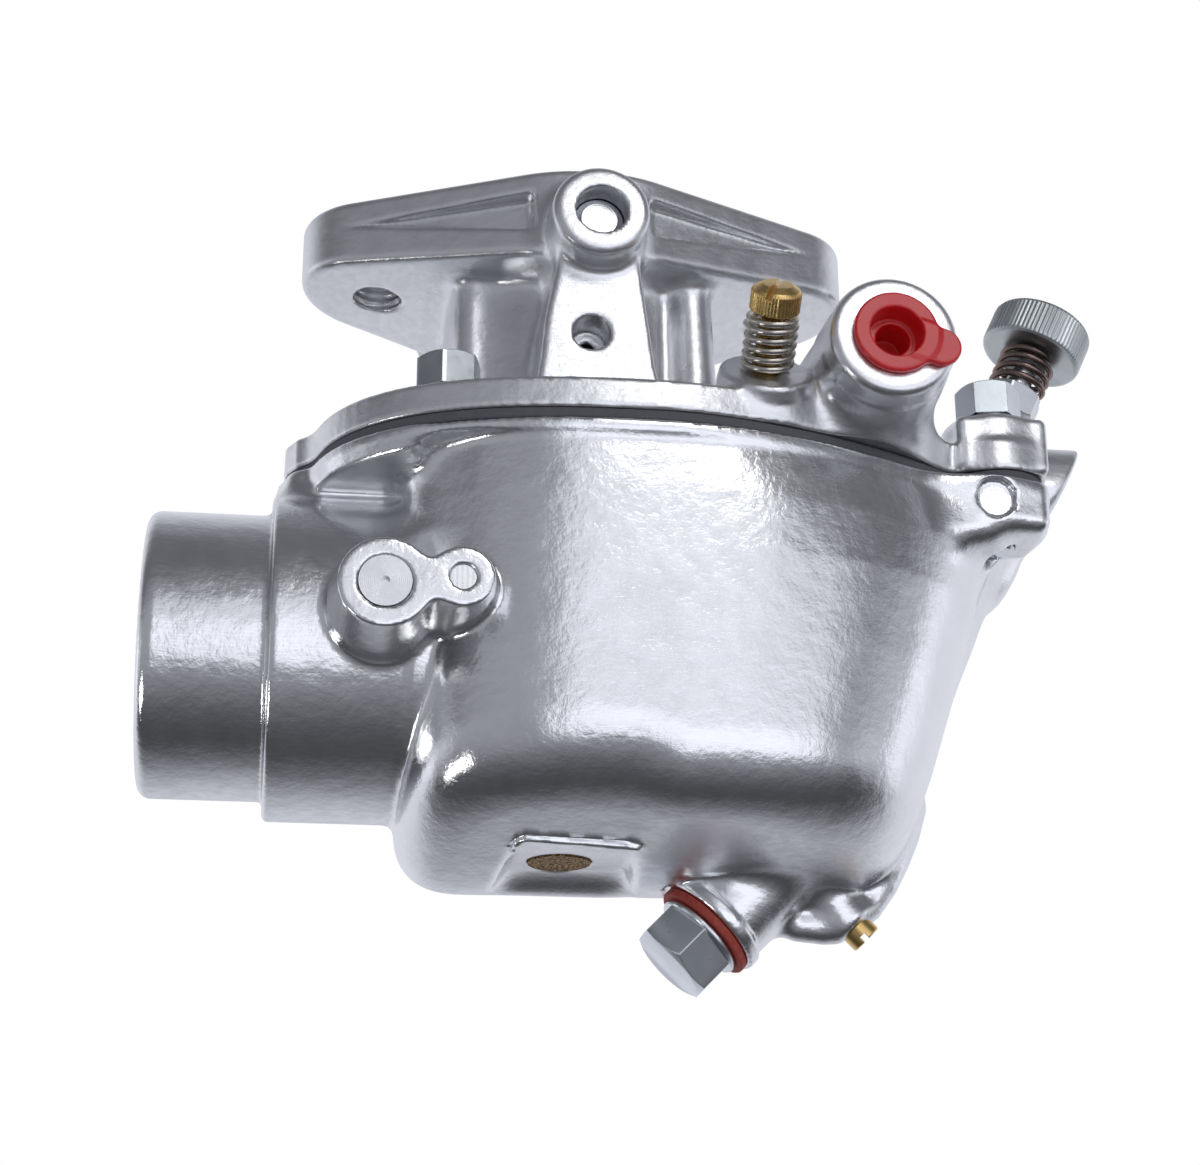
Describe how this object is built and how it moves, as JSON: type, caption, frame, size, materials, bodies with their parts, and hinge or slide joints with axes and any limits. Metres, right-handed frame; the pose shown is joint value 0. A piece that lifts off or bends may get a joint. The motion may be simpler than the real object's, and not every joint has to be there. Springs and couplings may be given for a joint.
{
  "type": "carburetor",
  "caption": "Updraft carburetor: flanged throttle body and cover over a cast float bowl with side air horn, throttle and choke shafts, float valve and adjusting needles",
  "frame": {"origin": "centre of the outlet flange's top face, on the throttle bore axis", "axes": "+Z is out of the outlet flange towards the manifold; X runs along the line of the two stud holes, with the air inlet spigot towards -X; -Y is the side with the fuel inlet and idle needle"},
  "size_m": [0.164, 0.0918, 0.1359],
  "materials": {
    "cast_aluminium": "bright tumbled die casting",
    "machined_aluminium": "machined",
    "zinc_steel": "bright zinc plate",
    "bare_steel": "ground bare steel",
    "spring_steel": "drawn spring wire",
    "bronzed_steel": "dark tempered spring wire",
    "brass": "turned brass",
    "sintered_bronze": "granular sintered bronze",
    "gasket": "dark grey gasket sheet",
    "red_fibre": "red vulcanised fibre",
    "red_plastic": "soft red shipping cap",
    "seal": "black seal"
  },
  "bodies": {
    "castings": {"throttle_body": "cast_aluminium", "fuel_bowl": "cast_aluminium", "bowl_gasket": "gasket", "venturi": "machined_aluminium", "main_nozzle": "brass", "nozzle_washer": "red_fibre", "idle_tube": "brass", "main_jet": "brass", "throttle_shaft_seal": "seal", "throttle_seal_retainer": "zinc_steel", "choke_shaft_seal": "seal", "choke_seal_retainer": "zinc_steel", "float_pin": "bare_steel", "inlet_seat": "brass", "inlet_seat_washer": "red_fibre", "inlet_cap": "red_plastic", "packing_nut": "zinc_steel", "needle_packing": "seal", "drain_plug": "zinc_steel", "drain_washer": "red_fibre", "passage_plug": "brass", "drip_filter": "sintered_bronze", "cover_bolts": "zinc_steel", "cover_lock_washers": "zinc_steel", "horn_ball_plug": "machined_aluminium", "cover_ball_plug": "machined_aluminium"},
    "throttle": {"throttle_shaft": "bare_steel", "throttle_plate": "brass", "throttle_plate_screws": "zinc_steel", "throttle_lever": "zinc_steel", "throttle_lever_screw": "zinc_steel"},
    "stop_screw_axial": {"throttle_stop_spring": "spring_steel"},
    "stop_screw_turn": {"throttle_stop_screw": "zinc_steel"},
    "choke": {"choke_shaft": "bare_steel", "choke_plate": "zinc_steel", "choke_plate_screws": "zinc_steel", "choke_relief_spring": "spring_steel", "choke_lever": "zinc_steel", "choke_lever_screw": "zinc_steel"},
    "choke_relief": {"choke_relief_valve": "zinc_steel"},
    "float": {"float_pontoons": "brass", "float_arm": "brass"},
    "inlet_valve": {"inlet_needle": "bare_steel"},
    "idle_axial": {"idle_needle_spring": "spring_steel"},
    "idle_turn": {"idle_needle": "brass"},
    "main_axial": {"main_needle_spring": "bronzed_steel"},
    "main_turn": {"main_needle": "bare_steel", "main_needle_knob": "zinc_steel"}
  },
  "joints": [
    {"name": "throttle_turn", "type": "hinge", "parent": "castings", "child": "throttle", "pos_m": [0, 0, -0.0125], "axis": [0, 1, 0], "range_deg": [0, 75]},
    {"name": "stop_screw_slide", "type": "slide", "parent": "throttle", "child": "stop_screw_axial", "axis": [0, 0, 1], "range_m": [0, 0.0017], "deforming": ["throttle_stop_spring"]},
    {"name": "stop_screw_spin", "type": "hinge", "parent": "stop_screw_axial", "child": "stop_screw_turn", "pos_m": [-0.013, 0.0318, -0.012], "axis": [0, 0, 1], "range_deg": [0, 640]},
    {"name": "choke_turn", "type": "hinge", "parent": "castings", "child": "choke", "pos_m": [-0.0327, 0, -0.07794], "axis": [0, 1, 0], "range_deg": [0, 80]},
    {"name": "choke_relief_lift", "type": "slide", "parent": "choke", "child": "choke_relief", "axis": [0, 0, 1], "range_m": [0, 0.004], "stiffness_N_per_m": 20, "deforming": ["choke_relief_spring"]},
    {"name": "float_swing", "type": "hinge", "parent": "castings", "child": "float", "pos_m": [0.053, 0, -0.0562], "axis": [0, -1, 0], "range_deg": [0, 13]},
    {"name": "inlet_needle_drop", "type": "slide", "parent": "castings", "child": "inlet_valve", "axis": [0, 0, -1], "range_m": [0, 0.0026]},
    {"name": "idle_needle_slide", "type": "slide", "parent": "castings", "child": "idle_axial", "axis": [0, -0.7314, 0.682], "range_m": [-0.0012, 0.0019], "deforming": ["idle_needle_spring"]},
    {"name": "idle_needle_spin", "type": "hinge", "parent": "idle_axial", "child": "idle_turn", "pos_m": [0.0265, -0.032, -0.0375], "axis": [0, -0.7314, 0.682], "range_deg": [-450, 720]},
    {"name": "main_needle_slide", "type": "slide", "parent": "castings", "child": "main_axial", "axis": [0.4239, 0, 0.9057], "range_m": [-0.0012, 0.0023], "deforming": ["main_needle_spring"]},
    {"name": "main_needle_spin", "type": "hinge", "parent": "main_axial", "child": "main_turn", "pos_m": [0.038, 0.005, -0.11], "axis": [0.4239, 0, 0.9057], "range_deg": [-450, 900]}
  ],
  "couplings": [
    {"joint": "stop_screw_slide", "follows": "stop_screw_spin", "m_per_rad": 0.00014324},
    {"joint": "idle_needle_slide", "follows": "idle_needle_spin", "m_per_rad": 0.00014324},
    {"joint": "main_needle_slide", "follows": "main_needle_spin", "m_per_rad": 0.00014324},
    {"joint": "inlet_needle_drop", "follows": "float_swing", "m_per_rad": 0.011}
  ]
}
